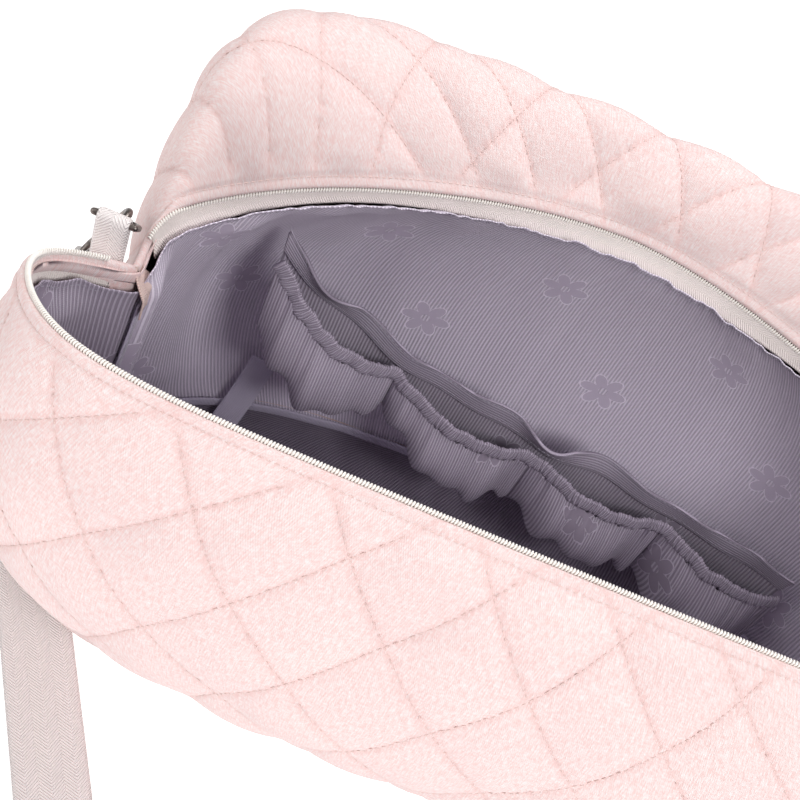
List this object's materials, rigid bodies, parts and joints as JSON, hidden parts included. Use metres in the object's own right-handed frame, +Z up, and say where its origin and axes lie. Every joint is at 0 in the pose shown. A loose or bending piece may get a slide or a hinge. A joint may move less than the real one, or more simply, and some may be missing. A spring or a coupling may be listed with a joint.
{
  "type": "quilted changing bag",
  "caption": "Quilted zip-top baby changing bag standing open, with ribbed lining, gathered inner pockets, bottle band and clip-on shoulder strap.",
  "frame": {"origin": "on the floor under the middle of the zip, at the centre of the flat base's rest face", "axes": "+X along the bag, -Y towards the front panel, +Z up"},
  "size_m": [0.5144, 0.3406, 0.2949],
  "materials": {
    "quilted_cloth": "pale pink mottled twill, quilted in diamonds over wadding",
    "lining_cloth": "grey-lavender fine ribbed lining",
    "lining_tape": "grey grosgrain tape",
    "webbing": "ivory herringbone webbing",
    "zip_coil": "cream nylon coil",
    "zip_tape": "cream woven tape",
    "stiff_board": "grey stiffening board",
    "dark_metal": "dark antique plating",
    "zip_metal": "cream enamelled die casting"
  },
  "bodies": {
    "bag": {"back_base_binding": "lining_tape", "back_lining": "lining_cloth", "back_panel": "quilted_cloth", "back_zip_coil": "zip_coil", "back_zip_tape": "zip_tape", "base_board": "stiff_board", "base_lining": "lining_cloth", "base_tub": "quilted_cloth", "bottle_band": "lining_tape", "elastic_casing": "lining_cloth", "elastic_pocket_1": "lining_cloth", "elastic_pocket_2": "lining_cloth", "elastic_pocket_3": "lining_cloth", "elastic_pocket_4": "lining_cloth", "front_base_binding": "lining_tape", "front_lining": "lining_cloth", "front_panel": "quilted_cloth", "front_zip_coil": "zip_coil", "front_zip_tape": "zip_tape", "left_ring_tab": "webbing", "left_side_binding": "lining_tape", "left_strap_loop": "webbing", "left_swivel_eye": "dark_metal", "left_zip_end_facing": "quilted_cloth", "pocket_back_layer": "lining_cloth", "pocket_hem": "lining_cloth", "right_ring_tab": "webbing", "right_side_binding": "lining_tape", "right_strap_loop": "webbing", "right_swivel_eye": "dark_metal", "right_zip_end_facing": "quilted_cloth", "shoulder_strap": "webbing"},
    "left_ring": {"left_d_ring": "dark_metal"},
    "right_ring": {"right_d_ring": "dark_metal"},
    "left_hook_body": {"left_hook": "dark_metal"},
    "right_hook_body": {"right_hook": "dark_metal"},
    "left_gate": {"left_hook_gate": "dark_metal"},
    "right_gate": {"right_hook_gate": "dark_metal"},
    "slider": {"zip_slider": "zip_metal"},
    "pull": {"zip_pull": "zip_metal"},
    "adjuster": {"strap_adjuster": "dark_metal"}
  },
  "joints": [
    {"name": "left_ring_swing", "type": "hinge", "parent": "bag", "child": "left_ring", "pos_m": [-0.2155, 0, 0.229], "axis": [-1, 0, 0], "range_deg": [0, 12]},
    {"name": "left_hook_swivel", "type": "hinge", "parent": "bag", "child": "left_hook_body", "pos_m": [-0.23339, 0.01264, 0.18172], "axis": [-0.4384, 0, -0.8988], "range_deg": [-8, 8]},
    {"name": "left_gate_open", "type": "hinge", "parent": "left_hook_body", "child": "left_gate", "pos_m": [-0.22799, 0.00624, 0.19278], "axis": [-0.8988, 0, 0.4384], "range_deg": [0, 20], "stiffness_Nm_per_rad": 0.02},
    {"name": "right_ring_swing", "type": "hinge", "parent": "bag", "child": "right_ring", "pos_m": [0.2155, 0, 0.229], "axis": [-1, 0, 0], "range_deg": [0, 12]},
    {"name": "right_hook_swivel", "type": "hinge", "parent": "bag", "child": "right_hook_body", "pos_m": [0.23339, 0.01264, 0.18172], "axis": [0.4384, 0, -0.8988], "range_deg": [-8, 8]},
    {"name": "right_gate_open", "type": "hinge", "parent": "right_hook_body", "child": "right_gate", "pos_m": [0.22799, 0.00624, 0.19278], "axis": [-0.8988, 0, -0.4384], "range_deg": [0, 20], "stiffness_Nm_per_rad": 0.02},
    {"name": "slider_travel", "type": "slide", "parent": "bag", "child": "slider", "axis": [-1, 0, 0], "range_m": [0, 0.006]},
    {"name": "pull_flip", "type": "hinge", "parent": "slider", "child": "pull", "pos_m": [0.1853, 0, 0.212], "axis": [0, 1, 0], "range_deg": [0, 170]},
    {"name": "adjuster_slide", "type": "slide", "parent": "bag", "child": "adjuster", "axis": [1, 0, 0], "range_m": [-0.03, 0.03]}
  ]
}
